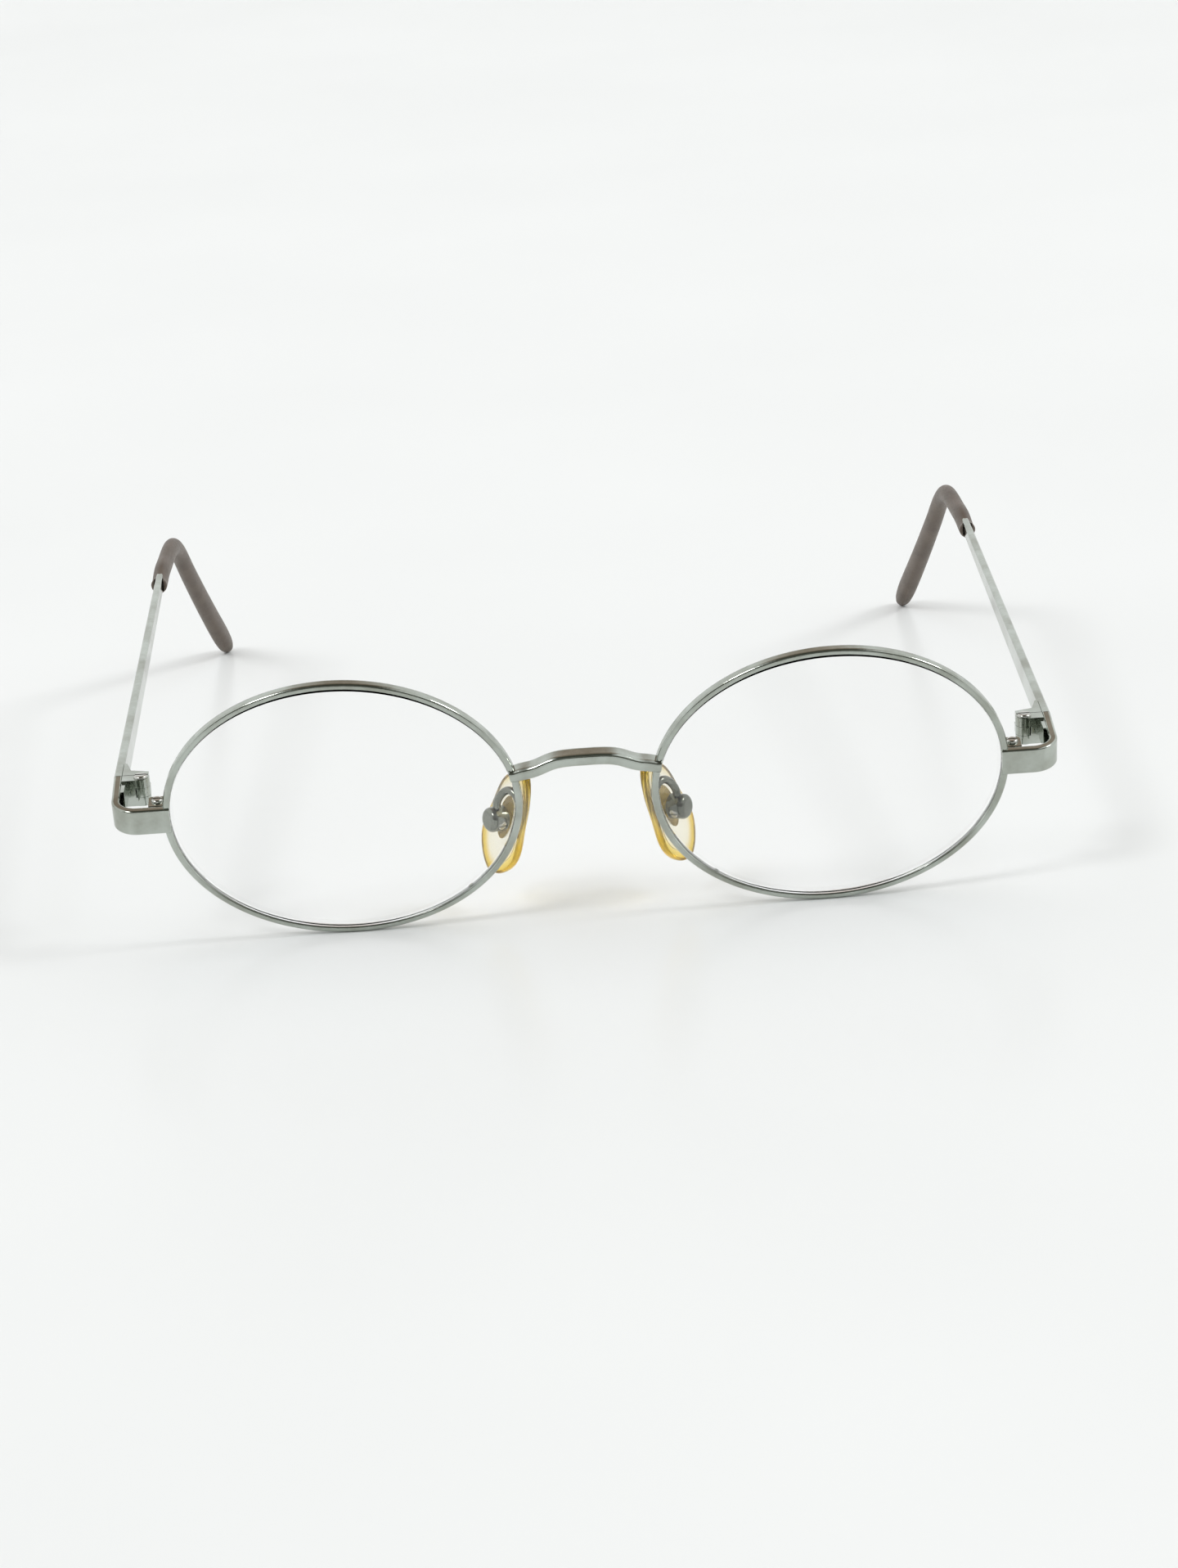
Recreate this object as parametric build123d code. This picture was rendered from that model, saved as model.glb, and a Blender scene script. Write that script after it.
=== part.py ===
from build123d import *
import math
import os

os.makedirs("parts", exist_ok=True)

# Oval wire eyeglasses, open, standing on the rims' lower edges and the ends of the temple tips.
# Millimetres. +X is the wearer's left, the front faces -Y, +Z is up, Z = 0 is the table.
# Everything is built for the +X side and mirrored.

# Front: lens rims and how they stand
rim_half_width = 24.1
rim_half_height = 19.3
rim_gap = 18.7
rim_wire_width = 1.0
rim_wire_depth = 1.7
rim_wire_round = 0.45
rim_roll = 2.0
rim_wrap = 1.0
front_lean = 11.4

# Lens and the groove that holds it
lens_thickness = 1.4
lens_curve_radius = 250.0
lens_front_rise = 1.55
bevel_height = 0.34
bevel_half_width = 0.36
bevel_crest_half_width = 0.06
lens_clearance = 0.03

# Endpiece strap
strap_thickness = 1.2
strap_height = 3.85
strap_round = 0.35
strap_rise = 0.2
strap_reach = 7.05
strap_set_back = 0.12
strap_corner_radius = 3.0
strap_length_back = 9.0

# Closing block at the rim's saw cut
saw_cut = 0.15
block_width = 2.6
block_lap = 0.75
block_depth = 2.5
block_round = 0.45
rim_screw_radius = 0.6
rim_screw_inset = 1.15
rim_screw_head_radius = 0.8

# Hinge
temple_slope = 4.0
pin_inset = 3.8
pin_forward = 0.9
knuckle_radius = 1.2
knuckle_gap = 0.04
seam_gap = 0.12
hinge_relief = 0.12
hinge_body_depth = 1.9
hinge_body_round = 0.4
hinge_foot_thickness = 0.5
hinge_foot_length = 5.0
hinge_foot_trim = 0.3
leaf_shoulder = 1.0
leaf_step_out = 1.5
leaf_step_back = 1.7
leaf_heel_out = 0.45
leaf_heel_back = 4.1
leaf_end_back = 4.6
pin_radius = 0.65
pin_head_radius = 1.0
pin_head_height = 0.42
fixed_fit = 0.02
running_fit = 0.05
slot_width = 0.3
slot_depth = 0.22
head_dome_share = 0.8

# Temple and tip
temple_end_thickness = 1.1
temple_end_height = 2.0
temple_lean_in = 0.6
sleeve_start = 80.6
bend_start = 95.8
bend_radius = 12.0
drop_angle = 43.0
tip_turn_in = 5.4
turn_in_run = 57.5
turn_in_power = 1.5
slope_step = 0.12
core_radius = 0.6
core_end_gap = 9.0
sleeve_grip = 3.0
sleeve_thickness = 2.5
sleeve_height = 2.9
sleeve_mouth_depth = 0.8
sleeve_mouth_gap = 0.22
sleeve_end_round = 0.35
paddle_thickness = 2.9
paddle_height = 4.0
paddle_back = 8.0
tip_end_radius = 1.05
tip_round_length = 6.0
tip_stations = 12
tip_round_stations = 6

# Bridge
bridge_depth = 2.6
bridge_height = 1.8
bridge_round = 0.6
bridge_lap = 0.95
bridge_stations = 15
bridge_line = [
    (0, -0.7, 5.9),
    (2.7, -0.7, 5.85),
    (4.7, -0.65, 5.45),
    (6.6, -0.6, 4.65),
    (8.4, -0.5, 4.15),
    (10.4, -0.45, 3.85),
]

# Nose pad assembly
pad_pivot = (12.65, 4.3, -5.7)
pad_splay = 30.0
pad_flare = 17.0
pad_tilt = 6.0
pad_top_radius = 2.8
pad_foot_radius = 4.1
pad_top_rise = 5.0
pad_foot_fall = 5.7
pad_side_bulge = 0.35
pad_profile = [(0, 0.25), (0.2, 0.04), (0.55, 0), (1.05, 0.1), (1.4, 0.5), (1.6, 1.5)]
box_radius = 1.75
box_outboard = 1.6
box_inboard = 1.0
box_round = 0.8
box_slot_half_width = 0.68
box_slot_half_height = 1.32
box_slot_behind = 0.95
pad_gap = 0.5
tongue_half_width = 0.6
tongue_eye_radius = 0.8
core_plate_half_height = 3.6
core_plate_half_width = 1.5
core_plate_thickness = 0.5
pad_screw_radius = 0.42
pad_screw_head_radius = 0.72
pad_screw_head_height = 0.35
arm_radius = 0.55
arm_line = [(9.5, 0.3, -2.1), (9.55, 1.7, -1.1), (10.5, 2.9, -0.5), (11.7, 3.8, -1.5), (12.5, 4.2, -3.8)]

# One overrun for every cutting tool that must pass right through
overrun = 12.0


def oval(grow):
    """The rim's centre-line oval, grown outwards, as a face standing in the XZ plane.

    Its outline starts at the nose, away from the saw cut.
    """
    return Plane.XZ * Rot(0, 0, 180) * Ellipse(rim_half_width + grow, rim_half_height + grow)


def oval_slab(grow, half_depth):
    return extrude(oval(grow), amount=half_depth, both=True)


def bevel_ring(extra):
    """A solid oval disc with a ridge round its edge, the shape that the groove takes from the rim."""
    root = -rim_wire_width / 2 + extra
    halves = []
    for side in (-1, 1):
        sections = [
            Pos(0, side * y, 0) * oval(grow)
            for y, grow in (
                (0, root + bevel_height),
                (bevel_crest_half_width + extra, root + bevel_height),
                (bevel_half_width + extra, root),
            )
        ]
        halves.append(loft(sections, ruled=True))
    return halves[0] + halves[1]


def vertical_edges(shape):
    return shape.edges().filter_by(Axis.Z)


def domed_screw(radius, length, head_radius, head_height):
    """A screw along Z: shank from 0 down, domed and slotted head above 0."""
    shank = Pos(0, 0, -length / 2) * Cylinder(radius, length)
    head = Pos(0, 0, head_height / 2) * Cylinder(head_radius, head_height)
    head = fillet(head.edges().group_by(Axis.Z)[-1], head_height * head_dome_share)
    slot = Pos(0, 0, head_height) * Box(overrun, slot_width, slot_depth + slot_depth)
    return shank + head - slot


# Where the rims stand: the oval's centre from the middle of the nose, wrapped round the face and rolled
rim_centre_out = rim_half_width + rim_gap / 2
rim_outer_x = rim_centre_out + rim_half_width + rim_wire_width / 2
rim_place = Pos(rim_centre_out, 0, 0) * Rot(0, 0, rim_wrap) * Rot(0, -rim_roll, 0)

# Rim, grooved inside and sawn through at the strap's mid-height
rim_ring = oval_slab(rim_wire_width / 2, rim_wire_depth / 2) - oval_slab(-rim_wire_width / 2, overrun)
rim_ring = fillet(rim_ring.edges(), rim_wire_round)
rim_ring = rim_ring - bevel_ring(lens_clearance)
rim_whole = rim_place * rim_ring

# The same wire as a filled disc, which seats whatever is soldered to its outside
rim_disc = oval_slab(rim_wire_width / 2, rim_wire_depth / 2)
rim_disc = rim_place * fillet(rim_disc.edges(), rim_wire_round)
saw = Pos(rim_outer_x, 0, strap_rise) * Box(overrun, overrun, saw_cut)
rim = rim_whole - saw

rest_height = -(Rot(front_lean, 0, 0) * rim).bounding_box().min.Z
front_frame = Pos(0, 0, rest_height) * Rot(front_lean, 0, 0)

# Lens: meniscus with a bevelled edge, seated in the groove
lens_body = oval_slab(-rim_wire_width / 2 - lens_clearance, overrun)
lens_front = Pos(0, lens_curve_radius - lens_front_rise, 0) * Sphere(lens_curve_radius)
lens_back = Pos(0, lens_curve_radius - lens_front_rise + lens_thickness, 0) * Sphere(lens_curve_radius)
lens = (lens_body & lens_front) - lens_back
lens = rim_place * (lens + (bevel_ring(-lens_clearance) - oval_slab(-rim_wire_width, overrun)))

# Endpiece strap: from the rim round the corner, along X then back along Y
strap_outer_x = rim_outer_x + strap_reach
strap_centre_x = strap_outer_x - strap_thickness / 2
strap_centre_y = (strap_thickness - rim_wire_depth) / 2 + strap_set_back
strap_path = FilletPolyline(
    (rim_outer_x - rim_wire_width, strap_centre_y, strap_rise),
    (strap_centre_x, strap_centre_y, strap_rise),
    (strap_centre_x, strap_length_back + overrun / 2, strap_rise),
    radius=strap_corner_radius,
)
strap_section = Plane(origin=strap_path @ 0, x_dir=(0, 1, 0), z_dir=strap_path % 0)
strap = sweep(strap_section * RectangleRounded(strap_thickness, strap_height, strap_round), strap_path)
strap = strap - rim_disc

seam = front_frame * Pos(strap_centre_x, strap_length_back, strap_rise)
seam_y, seam_z = seam.position.Y, seam.position.Z
hinge_frame = Pos(0, seam_y, seam_z) * Rot(temple_slope, 0, 0)

# The strap ends square to the temple, half the seam's gap before it
behind_seam = Box(overrun, overrun, overrun, align=(Align.CENTER, Align.MIN, Align.CENTER))
behind_seam = hinge_frame * Pos(strap_centre_x, -seam_gap / 2, 0) * behind_seam
endpiece = front_frame * strap - behind_seam

# Closing block: two halves behind the rim, with the saw cut between them
strap_back_y = strap_centre_y + strap_thickness / 2
block_x = rim_outer_x - block_lap + block_width / 2
block_half_height = (strap_height - saw_cut) / 2
block_blank = Box(block_width, block_depth, block_half_height)
block_blank = Pos(block_x, strap_back_y + block_depth / 2, 0) * block_blank
block_blank = fillet(vertical_edges(block_blank).group_by(Axis.Y)[-1], block_round)
rim_screw_x = block_x + block_width / 2 - rim_screw_inset
rim_screw_y = strap_back_y + block_depth - rim_screw_inset
rim_bore = Pos(rim_screw_x, rim_screw_y, strap_rise) * Cylinder(rim_screw_radius + fixed_fit, overrun)
block_offset = (block_half_height + saw_cut) / 2
block_upper = Pos(0, 0, strap_rise + block_offset) * block_blank - rim_bore - rim_disc
block_lower = Pos(0, 0, strap_rise - block_offset) * block_blank - rim_bore - rim_disc
rim_screw = domed_screw(rim_screw_radius, strap_height, rim_screw_head_radius, pin_head_height)
rim_screw = Pos(rim_screw_x, rim_screw_y, strap_rise + strap_height / 2) * rim_screw

# Hinge, drawn in the hinge frame: pin along Z, temple away along +Y
pin_x = strap_outer_x - pin_inset
strap_inner_x = strap_outer_x - strap_thickness
knuckle_height = strap_height / 3
pin_place = Pos(pin_x, -pin_forward, 0)
pin_axis = hinge_frame * pin_place
room_radius = knuckle_radius + hinge_relief
middle_room = pin_place * Cylinder(room_radius, knuckle_height + knuckle_gap * 2)
outer_room = pin_place * Cylinder(room_radius, overrun)

body_width = strap_inner_x - pin_x
hinge_body = Box(body_width, hinge_body_depth, strap_height, align=(Align.MIN, Align.MAX, Align.CENTER))
hinge_body = Pos(pin_x, -seam_gap / 2, 0) * hinge_body
hinge_body = fillet(vertical_edges(hinge_body).sort_by(Axis.Y)[0], hinge_body_round)
hinge_foot = Box(
    hinge_foot_thickness,
    hinge_foot_length,
    strap_height - hinge_foot_trim * 2,
    align=(Align.MAX, Align.MAX, Align.CENTER),
)
hinge_foot = Pos(strap_inner_x, -seam_gap / 2, 0) * hinge_foot
hinge_front = pin_place * Cylinder(knuckle_radius, strap_height) + hinge_body + hinge_foot
hinge_front = hinge_front - middle_room - pin_place * Cylinder(pin_radius + fixed_fit, overrun)
hinge_front = hinge_frame * hinge_front - endpiece

hinge_screw = domed_screw(pin_radius, strap_height, pin_head_radius, pin_head_height)
hinge_screw = pin_axis * Pos(0, 0, strap_height / 2) * hinge_screw

leaf_plan = Polyline(
    (pin_x - leaf_shoulder, seam_gap / 2),
    (pin_x - leaf_shoulder, leaf_shoulder),
    (pin_x + leaf_step_out, leaf_step_back),
    (strap_inner_x - leaf_heel_out, leaf_heel_back),
    (strap_inner_x, leaf_end_back),
    (strap_inner_x, seam_gap / 2),
    close=True,
)
leaf = extrude(make_face(leaf_plan), amount=strap_height / 2, both=True) - (outer_room - middle_room)
middle_knuckle = pin_place * Cylinder(knuckle_radius, knuckle_height)
knuckle_web = Box(
    knuckle_radius,
    pin_forward + seam_gap,
    knuckle_height,
    align=(Align.MAX, Align.MIN, Align.CENTER),
)
hinge_rear = leaf + middle_knuckle + pin_place * knuckle_web
hinge_rear = hinge_rear - pin_place * Cylinder(pin_radius + running_fit, overrun)
hinge_rear = hinge_frame * hinge_rear


# Temple centre line, by distance along it from the seam
def temple_line(s):
    slope = math.radians(temple_slope)
    drop = math.radians(drop_angle)
    turn = bend_radius * (slope + drop)
    straight = min(s, bend_start)
    y = seam_y + straight * math.cos(slope)
    z = seam_z + straight * math.sin(slope)
    bent = max(min(s - bend_start, turn), 0)
    angle = slope - bent / bend_radius
    y += bend_radius * (math.sin(slope) - math.sin(angle))
    z += bend_radius * (math.cos(angle) - math.cos(slope))
    rest = max(s - bend_start - turn, 0)
    y += rest * math.cos(drop)
    z -= rest * math.sin(drop)
    turned = max(s - sleeve_start, 0) / turn_in_run
    x = strap_centre_x - temple_lean_in * min(s, sleeve_start) / sleeve_start
    x -= tip_turn_in * turned**turn_in_power
    return Vector(x, y, z)


def temple_plane(s):
    along = temple_line(s + slope_step) - temple_line(max(s - slope_step, 0))
    return Plane(origin=temple_line(s), x_dir=(1, 0, 0), z_dir=along)


def table_length():
    """Distance along the line at which the tip's rounded end rests on the table."""
    turn = bend_radius * math.radians(temple_slope + drop_angle)
    bend_end = bend_start + turn
    return bend_end + (temple_line(bend_end).Z - tip_end_radius) / math.sin(math.radians(drop_angle))


temple_length = table_length()


def spaced(first, last, count):
    return [first + (last - first) * i / (count - 1) for i in range(count)]


# Temple: strap tapering to the sleeve, then the round core inside the tip
strap_run = sleeve_start + sleeve_grip
strap_faces = []
for s in (seam_gap / 2, strap_run):
    share = s / strap_run
    thickness = strap_thickness + (temple_end_thickness - strap_thickness) * share
    height = strap_height + (temple_end_height - strap_height) * share
    strap_faces.append(temple_plane(s) * RectangleRounded(thickness, height, strap_round))
temple_strap = loft(strap_faces)
core_places = spaced(strap_run, temple_length - core_end_gap, tip_stations)
core_faces = [temple_plane(s) * Circle(core_radius) for s in core_places]
temple_core = loft(core_faces)
temple = temple_strap + temple_core
hinge_rear = hinge_rear - temple

# Tip: oval sleeve over the core, swelling to a flat paddle whose rounded end stands on the table
def tip_half_size(s, sleeve_size, paddle_size):
    """Half the tip's size at a place along it: it swells to the paddle, then closes in an arc."""
    swell = min(max((s - bend_start) / (temple_length - paddle_back - bend_start), 0), 1)
    half = (sleeve_size + (paddle_size - sleeve_size) * swell) / 2
    closing = max(1 - (temple_length - s) / tip_round_length, 0)
    return tip_end_radius + (half - tip_end_radius) * math.sqrt(1 - closing**2)


round_start = temple_length - tip_round_length
tip_places = spaced(sleeve_start, round_start, tip_stations)
tip_places += spaced(round_start, temple_length, tip_round_stations)[1:]
tip_faces = []
for s in tip_places:
    across = tip_half_size(s, sleeve_thickness, paddle_thickness)
    tall = tip_half_size(s, sleeve_height, paddle_height)
    tip_faces.append(temple_plane(s) * Ellipse(across, tall))
tip_shell = loft(tip_faces)
tip_shell = fillet(tip_shell.edges().sort_by_distance(temple_line(sleeve_start))[0], sleeve_end_round)
tip_end = Pos(temple_line(temple_length)) * Sphere(tip_end_radius)
mouth = RectangleRounded(
    temple_end_thickness + sleeve_mouth_gap * 2,
    temple_end_height + sleeve_mouth_gap * 2,
    strap_round + sleeve_mouth_gap,
)
mouth = extrude(temple_plane(sleeve_start + sleeve_mouth_depth) * mouth, amount=-sleeve_mouth_depth * 2)
temple_tip = tip_shell + tip_end - temple - mouth

# Bridge: one bent rod that laps over the fronts of both rims, where it is soldered
bridge_points = [(-x, y, z) for x, y, z in reversed(bridge_line[1:])] + bridge_line
bridge_path = Spline(bridge_points)
bridge_faces = []
for share in spaced(0, 1, bridge_stations):
    station = Plane(origin=bridge_path @ share, x_dir=(0, 1, 0), z_dir=bridge_path % share)
    bridge_faces.append(station * RectangleRounded(bridge_depth, bridge_height, bridge_round))
bridge = loft(bridge_faces)
rim_inside = rim_place * oval_slab(rim_wire_width / 2 - bridge_lap, overrun)
for cutter in (rim_disc, rim_inside):
    bridge = bridge - cutter - mirror(cutter, about=Plane.YZ)

# Nose pad frame: X to the front edge, Y up, Z towards the nose
pad_frame = Pos(*pad_pivot) * Rot(pad_tilt, 0, 0) * Rot(0, -pad_flare, 0) * Rot(0, 0, -pad_splay)
pad_frame = pad_frame * Plane(origin=(0, 0, 0), x_dir=(0, -1, 0), z_dir=(-1, 0, 0)).location
across_pad = Rot(0, 90, 0)

box_blank = Pos(0, 0, (box_inboard - box_outboard) / 2) * Cylinder(box_radius, box_inboard + box_outboard)
box = fillet(box_blank.edges().group_by(Axis.Z)[0], box_round)
box_slot = Box(
    box_slot_half_width * 2,
    box_slot_half_height * 2,
    box_slot_behind + overrun,
    align=(Align.CENTER, Align.CENTER, Align.MIN),
)
screw_seat_x = box_radius - pad_screw_head_height
screw_bore = across_pad * Cylinder(pad_screw_radius + fixed_fit, overrun)
screw_seat = across_pad * Cylinder(pad_screw_head_radius + fixed_fit, overrun)
screw_seat = Pos(screw_seat_x + overrun / 2, 0, 0) * screw_seat
box = box - Pos(0, 0, -box_slot_behind) * box_slot - screw_bore - screw_seat
pad_screw = domed_screw(pad_screw_radius, screw_seat_x * 2, pad_screw_head_radius, pad_screw_head_height)
pad_screw = Pos(screw_seat_x, 0, 0) * across_pad * pad_screw

pad_back = box_inboard + pad_gap
pad_widest = (pad_top_radius + pad_foot_radius) / 2 + pad_side_bulge
pad_middle = (pad_top_rise - pad_foot_fall) / 2


def pad_outline(inset):
    """The pad's egg-shaped outline, narrower at the top, drawn in by the inset."""
    top = pad_top_radius - inset
    foot = pad_foot_radius - inset
    side = pad_widest - inset
    line = Spline(
        (0, pad_top_rise + top),
        (-top, pad_top_rise),
        (-side, pad_middle),
        (-foot, -pad_foot_fall),
        (0, -pad_foot_fall - foot),
        (foot, -pad_foot_fall),
        (side, pad_middle),
        (top, pad_top_rise),
        periodic=True,
    )
    return make_face(line)


pad_blank = loft([Pos(0, 0, pad_back + rise) * pad_outline(inset) for rise, inset in pad_profile])
core_plate = extrude(Ellipse(core_plate_half_width, core_plate_half_height), amount=core_plate_thickness)
core_plate = Pos(0, 0, pad_back) * core_plate
tongue = Box(
    tongue_half_width * 2,
    tongue_eye_radius * 2,
    pad_back + core_plate_thickness / 2,
    align=(Align.CENTER, Align.CENTER, Align.MIN),
)
tongue_eye = across_pad * Cylinder(tongue_eye_radius, tongue_half_width * 2)
pad_core = core_plate + tongue + tongue_eye - across_pad * Cylinder(pad_screw_radius + running_fit, overrun)
nose_pad = pad_blank - core_plate

arm_path = Spline(arm_line)
arm = sweep(Plane(origin=arm_path @ 0, z_dir=arm_path % 0) * Circle(arm_radius), arm_path)
arm = arm - rim_disc - pad_frame * box_blank

front_pieces = {
    "rim": rim,
    "lens": lens,
    "closing_block_upper": block_upper,
    "closing_block_lower": block_lower,
    "rim_screw": rim_screw,
    "pad_arm": arm,
    "pad_box": pad_frame * box,
    "pad_screw": pad_frame * pad_screw,
    "pad_core": pad_frame * pad_core,
    "nose_pad": pad_frame * nose_pad,
}
pieces = {name: front_frame * shape for name, shape in front_pieces.items()}
pieces["endpiece"] = endpiece
pieces["hinge_front"] = hinge_front
pieces["hinge_rear"] = hinge_rear
pieces["hinge_screw"] = hinge_screw
pieces["temple"] = temple
pieces["temple_tip"] = temple_tip

# The origin goes on the table under the middle of the whole length
front_y = pieces["rim"].bounding_box().min.Y
back_y = pieces["temple_tip"].bounding_box().max.Y
centred = Pos(0, -(front_y + back_y) / 2, 0)

export_step(centred * front_frame * bridge, "parts/bridge.step")
for name, shape in pieces.items():
    export_step(centred * shape, f"parts/{name}_left.step")
    export_step(mirror(centred * shape, about=Plane.YZ), f"parts/{name}_right.step")
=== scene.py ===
import math

import bpy
from mathutils import Matrix, Vector

# Oval wire eyeglasses, open, standing on the rims' lower edges and the ends of the temple tips.
# Metres. +X is the wearer's left, the front faces -Y, +Z is up, Z = 0 is the table.
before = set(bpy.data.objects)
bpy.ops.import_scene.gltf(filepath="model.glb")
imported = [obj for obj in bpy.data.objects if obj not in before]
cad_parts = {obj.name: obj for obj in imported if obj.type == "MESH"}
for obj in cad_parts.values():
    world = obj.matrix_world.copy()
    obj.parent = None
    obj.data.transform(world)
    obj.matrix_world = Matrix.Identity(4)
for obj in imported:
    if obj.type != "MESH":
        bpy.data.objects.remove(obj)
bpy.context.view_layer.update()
scene = bpy.context.scene
scene.view_settings.view_transform = "Standard"


# Camera: in front of the glasses and above them, looking down at the lenses.
# A long lens at half a metre, rolled by a little under four degrees.
def way_to(azimuth, elevation):
    """The direction from the glasses to something, in degrees round from the front and degrees up."""
    turn, rise = math.radians(azimuth), math.radians(elevation)
    return Vector((
        math.sin(turn) * math.cos(rise),
        -math.cos(turn) * math.cos(rise),
        math.sin(rise),
    ))


def aim_camera():
    roll = math.radians(-3.724)
    distance = 0.5403
    target = Vector((0.0004, -0.06685, 0.0202))
    back = way_to(-0.806, 19.44)
    level_right = (-back).cross(Vector((0, 0, 1))).normalized()
    level_up = level_right.cross(-back)
    right = math.cos(roll) * level_right + math.sin(roll) * level_up
    up = -math.sin(roll) * level_right + math.cos(roll) * level_up
    data = bpy.data.cameras.new("camera")
    data.sensor_fit = "HORIZONTAL"
    data.sensor_width = 36
    data.lens = 120.45
    data.clip_start = 0.01
    camera = bpy.data.objects.new("camera", data)
    turn = Matrix((right, up, back)).transposed().to_4x4()
    camera.matrix_world = Matrix.Translation(target + distance * back) @ turn
    scene.collection.objects.link(camera)
    scene.camera = camera


aim_camera()


# Table: a smooth white laminate top, far wider than the camera sees, its edge swept up a little.
# Soft shadows and a faint mirror image of the glasses show in it.
def linear(code):
    """A hex colour as written on a screen, in the linear values that the shaders take."""
    channels = [int(code[i:i + 2], 16) / 255 for i in (1, 3, 5)]
    values = [c / 12.92 if c <= 0.04045 else ((c + 0.055) / 1.055) ** 2.4 for c in channels]
    return tuple(values) + (1.0,)


def add(owner, kind, settings=None, values=None, links=None):
    """Adds one node with its settings, its inputs' values and the outputs that its inputs read."""
    node = owner.node_tree.nodes.new(kind)
    for name, value in (settings or {}).items():
        setattr(node, name, value)
    for name, value in (values or {}).items():
        node.inputs[name].default_value = value
    for name, source in (links or {}).items():
        owner.node_tree.links.new(source, node.inputs[name])
    return node


def empty_material(name):
    material = bpy.data.materials.new(name)
    material.use_nodes = True
    material.node_tree.nodes.clear()
    return material


def colour_stops(node, stops):
    ramp = node.color_ramp
    while len(ramp.elements) < len(stops):
        ramp.elements.new(0.5)
    for element, (place, colour) in zip(ramp.elements, stops):
        element.position = place
        element.color = linear(colour)


def patches(millimetres):
    """The scale of a noise whose patches are about this wide."""
    return 1000 / millimetres


def make_laminate():
    laminate = empty_material("white_laminate")
    place = add(laminate, "ShaderNodeTexCoord")
    mottle = add(
        laminate,
        "ShaderNodeTexNoise",
        values={"Scale": patches(111.1), "Detail": 2.0},
        links={"Vector": place.outputs["Object"]},
    )
    tone = add(laminate, "ShaderNodeValToRGB", links={"Fac": mottle.outputs["Fac"]})
    colour_stops(tone, [(0.3, "#F2F4F4"), (0.7, "#F5F7F7")])
    surface = add(
        laminate,
        "ShaderNodeBsdfPrincipled",
        values={"Roughness": 0.26, "IOR": 1.45, "Specular IOR Level": 0.2},
        links={"Base Color": tone.outputs["Color"]},
    )
    add(laminate, "ShaderNodeOutputMaterial", links={"Surface": surface.outputs["BSDF"]})
    return laminate


def lay_table():
    inner_radius, flat_radius = 0.4, 2.2
    sweep_radius, sweep_angle, sweep_steps = 0.6, 60, 6
    around = 96
    rings = [(inner_radius, 0.0), (flat_radius, 0.0)]
    for step in range(1, sweep_steps + 1):
        turn = math.radians(sweep_angle * step / sweep_steps)
        out, up = sweep_radius * math.sin(turn), sweep_radius * (1 - math.cos(turn))
        rings.append((flat_radius + out, up))
    angles = [2 * math.pi * i / around for i in range(around)]
    points = [(r * math.cos(a), r * math.sin(a), z) for r, z in rings for a in angles]
    points.append((0, 0, 0))
    centre = len(points) - 1
    faces = [(i, (i + 1) % around, centre) for i in range(around)]
    for ring in range(len(rings) - 1):
        for i in range(around):
            a, b = ring * around + i, ring * around + (i + 1) % around
            faces.append((a, a + around, b + around, b))
    mesh = bpy.data.meshes.new("table_top")
    mesh.from_pydata(points, [], faces)
    mesh.polygons.foreach_set("use_smooth", [True] * len(faces))
    mesh.materials.append(make_laminate())
    table_top = bpy.data.objects.new("table_top", mesh)
    scene.collection.objects.link(table_top)


lay_table()


# Light: two soft lamps, left and right in front, throw the faint doubled shadows and add sparkle.
# A weak fill lamp from above and a pale room light the rest. The metal mirrors the room: bright
# walls, a brownish strip of ceiling overhead, and no light behind the camera.
def place_lamps():
    lamp_energy, lamp_width = 0.62, 14
    for name, azimuth, elevation in (("left_lamp", -49, 47), ("right_lamp", 82, 43)):
        lamp = bpy.data.lights.new(name, "SUN")
        lamp.energy = lamp_energy
        lamp.angle = math.radians(lamp_width)
        lamp_object = bpy.data.objects.new(name, lamp)
        lamp_object.rotation_euler = way_to(azimuth, elevation).to_track_quat("Z", "Y").to_euler()
        scene.collection.objects.link(lamp_object)

    fill = bpy.data.lights.new("soft_fill", "SUN")
    fill.energy = 0.4
    fill.color = (0.94, 0.97, 1.0)
    fill.angle = math.radians(80)
    fill_lamp = bpy.data.objects.new("soft_fill", fill)
    fill_lamp.visible_glossy = False
    scene.collection.objects.link(fill_lamp)


# Sockets that share their name with others on the same node are taken by number.
FACTOR, COLOUR_A, COLOUR_B, MIXED_COLOUR = 0, 6, 7, 2
SHADER_A, SHADER_B = 1, 2


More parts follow.
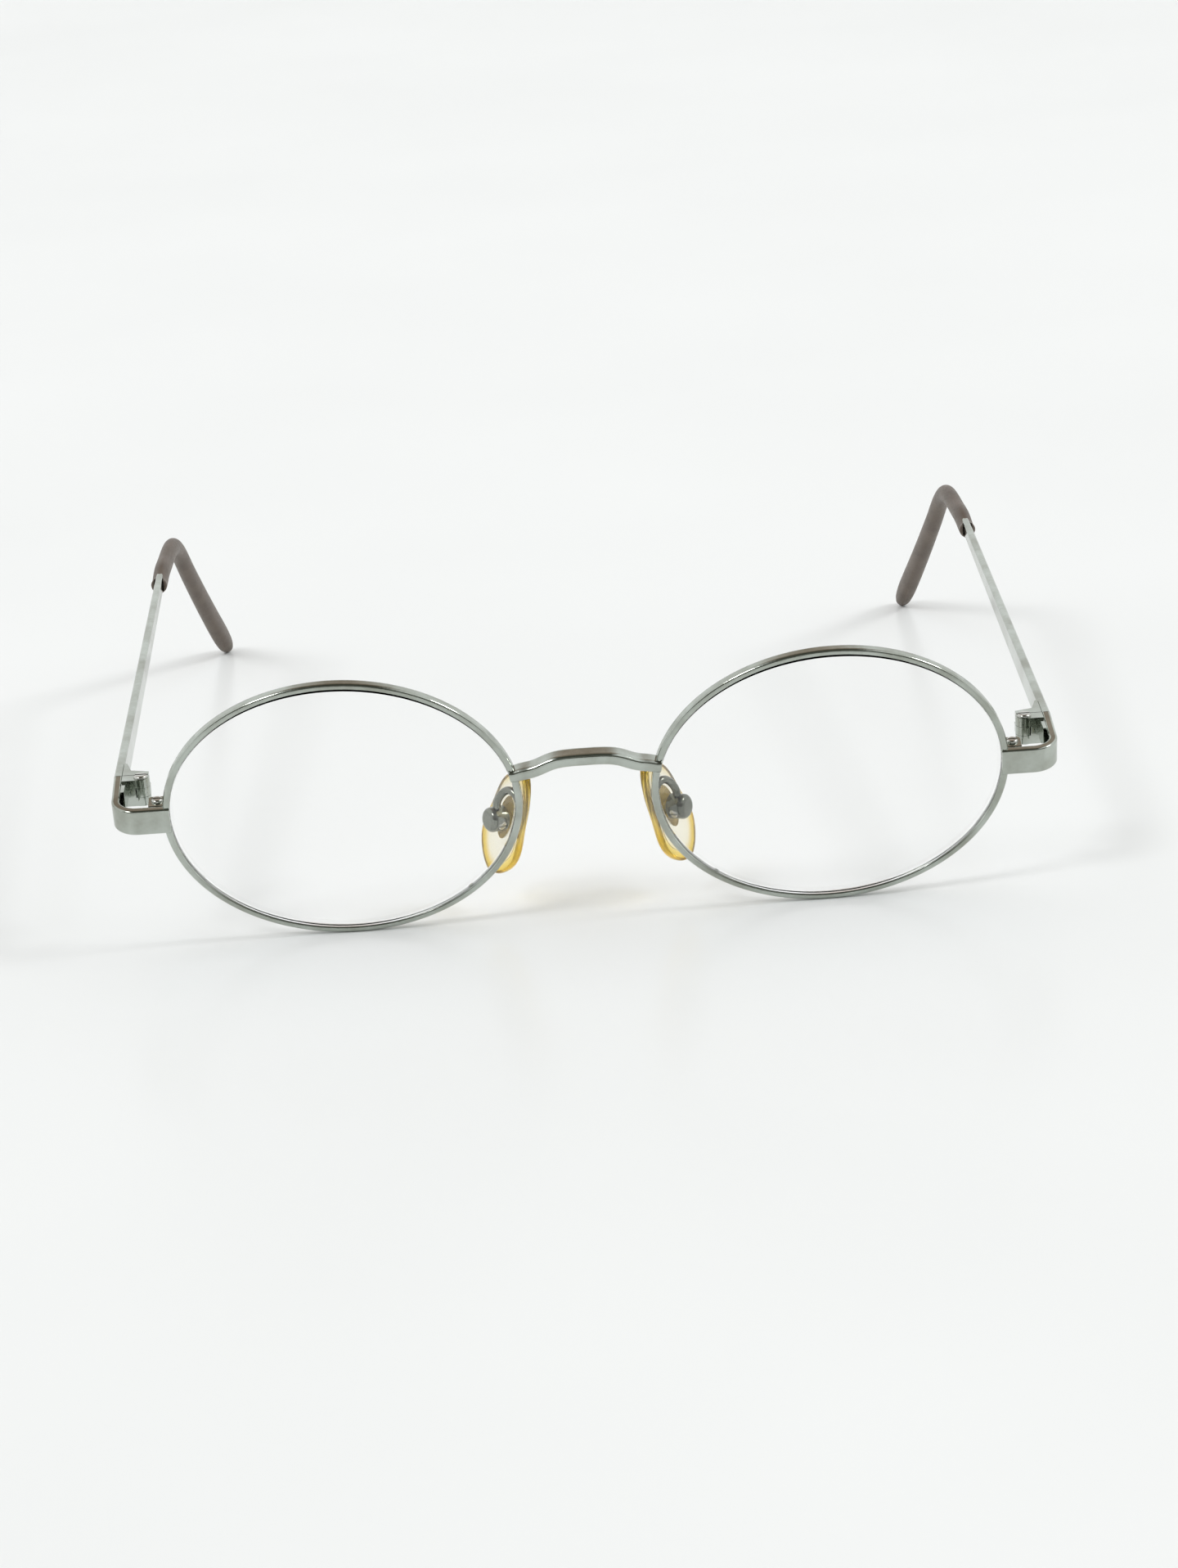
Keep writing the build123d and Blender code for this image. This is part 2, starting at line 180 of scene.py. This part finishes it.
def paint_room():
    # Shares of the way up, sideways and back, as a direction from the glasses has them.
    ceiling_starts, ceiling_whole = 0.58, 0.66
    strip_whole, strip_ends = 0.28, 0.46
    overhead_near, overhead_far = -0.6, 0.8
    dark_starts, dark_whole = -0.35, -0.6

    room = bpy.data.worlds.new("pale_room")
    room.use_nodes = True
    place = add(room, "ShaderNodeTexCoord")
    way = add(room, "ShaderNodeSeparateXYZ", links={"Vector": place.outputs["Generated"]})
    ceiling = add(
        room,
        "ShaderNodeMapRange",
        values={"From Min": ceiling_starts, "From Max": ceiling_whole},
        links={"Value": way.outputs["Z"]},
    )
    aside = add(
        room,
        "ShaderNodeMath",
        settings={"operation": "ABSOLUTE"},
        links={0: way.outputs["X"]},
    )
    strip = add(
        room,
        "ShaderNodeMapRange",
        values={"From Min": strip_whole, "From Max": strip_ends, "To Min": 1.0, "To Max": 0.0},
        links={"Value": aside.outputs["Value"]},
    )
    ceiling_strip = add(
        room,
        "ShaderNodeMath",
        settings={"operation": "MULTIPLY"},
        links={0: ceiling.outputs["Result"], 1: strip.outputs["Result"]},
    )
    reach = add(
        room,
        "ShaderNodeMapRange",
        values={"From Min": overhead_near, "From Max": overhead_far},
        links={"Value": way.outputs["Y"]},
    )
    overhead = add(room, "ShaderNodeValToRGB", links={"Fac": reach.outputs["Result"]})
    colour_stops(overhead, [(0.0, "#4C4E46"), (0.35, "#56574D"), (0.6, "#97897C"), (1.0, "#B3A294")])
    below_ceiling = add(
        room,
        "ShaderNodeMapRange",
        values={"From Min": ceiling_starts, "From Max": ceiling_whole, "To Min": 1.0, "To Max": 0.0},
        links={"Value": way.outputs["Z"]},
    )
    behind_camera = add(
        room,
        "ShaderNodeMapRange",
        values={"From Min": dark_starts, "From Max": dark_whole, "To Min": 0.0, "To Max": 1.0},
        links={"Value": way.outputs["Y"]},
    )
    unlit = add(
        room,
        "ShaderNodeMath",
        settings={"operation": "MULTIPLY"},
        links={0: below_ceiling.outputs["Result"], 1: behind_camera.outputs["Result"]},
    )
    walls = add(
        room,
        "ShaderNodeMix",
        settings={"data_type": "RGBA"},
        values={COLOUR_A: linear("#FEFFFF"), COLOUR_B: linear("#6C6E66")},
        links={FACTOR: unlit.outputs["Value"]},
    )
    seen = add(
        room,
        "ShaderNodeMix",
        settings={"data_type": "RGBA"},
        links={
            FACTOR: ceiling_strip.outputs["Value"],
            COLOUR_A: walls.outputs[MIXED_COLOUR],
            COLOUR_B: overhead.outputs["Color"],
        },
    )
    background = room.node_tree.nodes["Background"]
    room.node_tree.links.new(seen.outputs[MIXED_COLOUR], background.inputs["Color"])
    scene.world = room


place_lamps()
paint_room()


# Frame metal: nickel silver wire and strap, soldered together, polished and plated.
# Glossy cool silver-grey, with a warmer film in blotches. The haze of fine wear is drawn coarser
# than it is, so that it shows.
SIDES = ("left", "right")


def finish_node(name, material):
    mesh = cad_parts[name].data
    mesh.materials.clear()
    mesh.materials.append(material)


def make_metal(name, dull, bright, wear_patch, polished, worn):
    metal = empty_material(name)
    place = add(metal, "ShaderNodeTexCoord")
    film = add(
        metal,
        "ShaderNodeTexNoise",
        values={"Scale": patches(6.25), "Detail": 4.0, "Roughness": 0.6},
        links={"Vector": place.outputs["Object"]},
    )
    tone = add(metal, "ShaderNodeValToRGB", links={"Fac": film.outputs["Fac"]})
    colour_stops(tone, [(0.3, dull), (0.62, bright)])
    wear = add(
        metal,
        "ShaderNodeTexNoise",
        values={"Scale": patches(wear_patch), "Detail": 5.0, "Roughness": 0.7},
        links={"Vector": place.outputs["Object"]},
    )
    gloss = add(
        metal,
        "ShaderNodeMapRange",
        values={"From Min": 0.3, "From Max": 0.75, "To Min": polished, "To Max": worn},
        links={"Value": wear.outputs["Fac"]},
    )
    bump = add(
        metal,
        "ShaderNodeBump",
        values={"Strength": 0.06, "Distance": 0.00003},
        links={"Height": wear.outputs["Fac"]},
    )
    surface = add(
        metal,
        "ShaderNodeBsdfPrincipled",
        values={"Metallic": 1.0},
        links={
            "Base Color": tone.outputs["Color"],
            "Roughness": gloss.outputs["Result"],
            "Normal": bump.outputs["Normal"],
        },
    )
    add(metal, "ShaderNodeOutputMaterial", links={"Surface": surface.outputs["BSDF"]})
    return metal


plated_nickel_silver = make_metal(
    "plated_nickel_silver", "#999C92", "#B9BFB8", wear_patch=0.7143, polished=0.07, worn=0.14)
for side in SIDES:
    for piece in (
        "rim",
        "closing_block_upper",
        "closing_block_lower",
        "endpiece",
        "hinge_front",
        "hinge_rear",
        "temple",
    ):
        finish_node(f"{piece}_{side}", plated_nickel_silver)
finish_node("bridge", plated_nickel_silver)


# Pad arms and boxes: the same nickel silver, but skin and sweat have taken its plating off.
# It is darker and a little green-grey, with blotches of tarnish.
tarnished_nickel_silver = make_metal(
    "tarnished_nickel_silver", "#55584E", "#82857C", wear_patch=0.5263, polished=0.07, worn=0.2)
for side in SIDES:
    finish_node(f"pad_arm_{side}", tarnished_nickel_silver)
    finish_node(f"pad_box_{side}", tarnished_nickel_silver)


# Screws: turned stainless steel with slotted, domed heads.
# They are brighter than the plating and a little rougher, with finer wear.
stainless_steel = make_metal(
    "stainless_steel", "#B4B5B0", "#CFCFCA", wear_patch=0.1923, polished=0.14, worn=0.26)
for side in SIDES:
    for piece in ("rim_screw", "hinge_screw", "pad_screw"):
        finish_node(f"{piece}_{side}", stainless_steel)


# Lenses: clear cast resin with a hard coat, ground to an oval with a bevelled edge.
# They are almost unseen against the table, with a faint smudge here and there.
def make_lens_resin():
    resin = empty_material("lens_resin")
    place = add(resin, "ShaderNodeTexCoord")
    smudge = add(
        resin,
        "ShaderNodeTexNoise",
        values={"Scale": patches(14.29), "Detail": 3.0},
        links={"Vector": place.outputs["Object"]},
    )
    haze = add(
        resin,
        "ShaderNodeMapRange",
        values={"From Min": 0.45, "From Max": 0.8, "To Min": 0.0, "To Max": 0.02},
        links={"Value": smudge.outputs["Fac"]},
    )
    clear = add(
        resin,
        "ShaderNodeBsdfPrincipled",
        values={"Base Color": linear("#FFFFFF"), "Transmission Weight": 1.0, "IOR": 1.498},
        links={"Roughness": haze.outputs["Result"]},
    )
    shade = add(resin, "ShaderNodeBsdfTransparent", values={"Color": linear("#FCFCFC")})
    ray = add(resin, "ShaderNodeLightPath")
    mixed = add(
        resin,
        "ShaderNodeMixShader",
        links={
            FACTOR: ray.outputs["Is Shadow Ray"],
            SHADER_A: clear.outputs["BSDF"],
            SHADER_B: shade.outputs["BSDF"],
        },
    )
    add(resin, "ShaderNodeOutputMaterial", links={"Surface": mixed.outputs["Shader"]})
    return resin


lens_resin = make_lens_resin()
for side in SIDES:
    finish_node(f"lens_{side}", lens_resin)


# Temple tips: cellulose acetate, moulded as a sleeve and pushed over the temple's core.
# Brown-grey and satin from handling, with a little light in its thin edges.
def make_tip_plastic():
    plastic = empty_material("brown_grey_acetate")
    place = add(plastic, "ShaderNodeTexCoord")
    cloud = add(
        plastic,
        "ShaderNodeTexNoise",
        values={"Scale": patches(4.167), "Detail": 4.0, "Roughness": 0.55},
        links={"Vector": place.outputs["Object"]},
    )
    tone = add(plastic, "ShaderNodeValToRGB", links={"Fac": cloud.outputs["Fac"]})
    colour_stops(tone, [(0.3, "#54493F"), (0.7, "#675B50")])
    rub = add(
        plastic,
        "ShaderNodeTexNoise",
        values={"Scale": patches(0.3125), "Detail": 3.0},
        links={"Vector": place.outputs["Object"]},
    )
    gloss = add(
        plastic,
        "ShaderNodeMapRange",
        values={"From Min": 0.3, "From Max": 0.7, "To Min": 0.34, "To Max": 0.5},
        links={"Value": rub.outputs["Fac"]},
    )
    bump = add(
        plastic,
        "ShaderNodeBump",
        values={"Strength": 0.1, "Distance": 0.00002},
        links={"Height": rub.outputs["Fac"]},
    )
    surface = add(
        plastic,
        "ShaderNodeBsdfPrincipled",
        values={
            "IOR": 1.48,
            "Subsurface Weight": 0.15,
            "Subsurface Radius": (0.001, 0.0008, 0.0006),
        },
        links={
            "Base Color": tone.outputs["Color"],
            "Roughness": gloss.outputs["Result"],
            "Normal": bump.outputs["Normal"],
        },
    )
    add(plastic, "ShaderNodeOutputMaterial", links={"Surface": surface.outputs["BSDF"]})
    return plastic


tip_plastic = make_tip_plastic()
for side in SIDES:
    finish_node(f"temple_tip_{side}", tip_plastic)


# Nose pads: soft clear vinyl, yellowed with age, moulded round a hard amber insert.
# The faces look pale cream. The rounded border is painted a strong gold: a painted glow standing in
# for light that passes through more of the vinyl near the edge.
def make_pad_plastic(name, side, middle, painted_border_glow, shade, depth_tint, density, smooth, hazy):
    mirror = 1 if side == "left" else -1
    pad_centre = (mirror * 0.01103, -0.06085, 0.0137)
    pad_half_size = (0.00431, 0.004, 0.00887)
    painted_glow_starts = 0.82
    across = Vector((0.476, 0.781, 0.405))
    through = Vector((0.828, -0.553, 0.093))
    up = Vector((-0.296, -0.291, 0.91))
    for axis in (across, through, up):
        axis.x *= mirror
    axes = Matrix((across * mirror, through, up)).transposed()

    plastic = empty_material(name)
    place = add(plastic, "ShaderNodeTexCoord")
    own = add(
        plastic,
        "ShaderNodeMapping",
        settings={"vector_type": "TEXTURE"},
        values={"Location": pad_centre, "Rotation": axes.to_euler(), "Scale": pad_half_size},
        links={"Vector": place.outputs["Object"]},
    )
    outward = add(
        plastic,
        "ShaderNodeVectorMath",
        settings={"operation": "LENGTH"},
        links={0: own.outputs["Vector"]},
    )
    # Painted glow: towards the pad's outer edge, the colour turns from the middle's to the border's
    # gold.
    edge = add(
        plastic,
        "ShaderNodeMapRange",
        values={"From Min": painted_glow_starts, "From Max": 1.0},
        links={"Value": outward.outputs["Value"]},
    )
    tone = add(
        plastic,
        "ShaderNodeMix",
        settings={"data_type": "RGBA"},
        values={COLOUR_A: linear(middle), COLOUR_B: linear(painted_border_glow)},
        links={FACTOR: edge.outputs["Result"]},
    )
    cloud = add(
        plastic,
        "ShaderNodeTexNoise",
        values={"Scale": patches(2.381), "Detail": 3.0},
        links={"Vector": place.outputs["Object"]},
    )
    haze = add(
        plastic,
        "ShaderNodeMapRange",
        values={"From Min": 0.3, "From Max": 0.7, "To Min": smooth, "To Max": hazy},
        links={"Value": cloud.outputs["Fac"]},
    )
    clear = add(
        plastic,
        "ShaderNodeBsdfPrincipled",
        values={"Transmission Weight": 0.9, "IOR": 1.5},
        links={"Base Color": tone.outputs[MIXED_COLOUR], "Roughness": haze.outputs["Result"]},
    )
    shadow = add(plastic, "ShaderNodeBsdfTransparent", values={"Color": linear(shade)})
    ray = add(plastic, "ShaderNodeLightPath")
    mixed = add(
        plastic,
        "ShaderNodeMixShader",
        links={
            FACTOR: ray.outputs["Is Shadow Ray"],
            SHADER_A: clear.outputs["BSDF"],
            SHADER_B: shadow.outputs["BSDF"],
        },
    )
    depth = add(
        plastic,
        "ShaderNodeVolumeAbsorption",
        values={"Color": linear(depth_tint), "Density": density},
    )
    add(
        plastic,
        "ShaderNodeOutputMaterial",
        links={"Surface": mixed.outputs["Shader"], "Volume": depth.outputs["Volume"]},
    )
    return plastic


for side in SIDES:
    finish_node(f"nose_pad_{side}", make_pad_plastic(
        f"yellowed_vinyl_{side}",
        side,
        middle="#FFFEFA",
        # Painted glow: the gold of the border.
        painted_border_glow="#F4D455",
        shade="#BEB9AC",
        depth_tint="#FDE93A",
        density=80.0,
        smooth=0.03,
        hazy=0.08,
    ))
    finish_node(f"pad_core_{side}", make_pad_plastic(
        f"amber_insert_{side}",
        side,
        middle="#F2DE8C",
        # Painted glow: the insert's border is painted a deeper gold in the same way.
        painted_border_glow="#DDBB50",
        shade="#A89C68",
        depth_tint="#DABB3C",
        density=500.0,
        smooth=0.2,
        hazy=0.35,
    ))
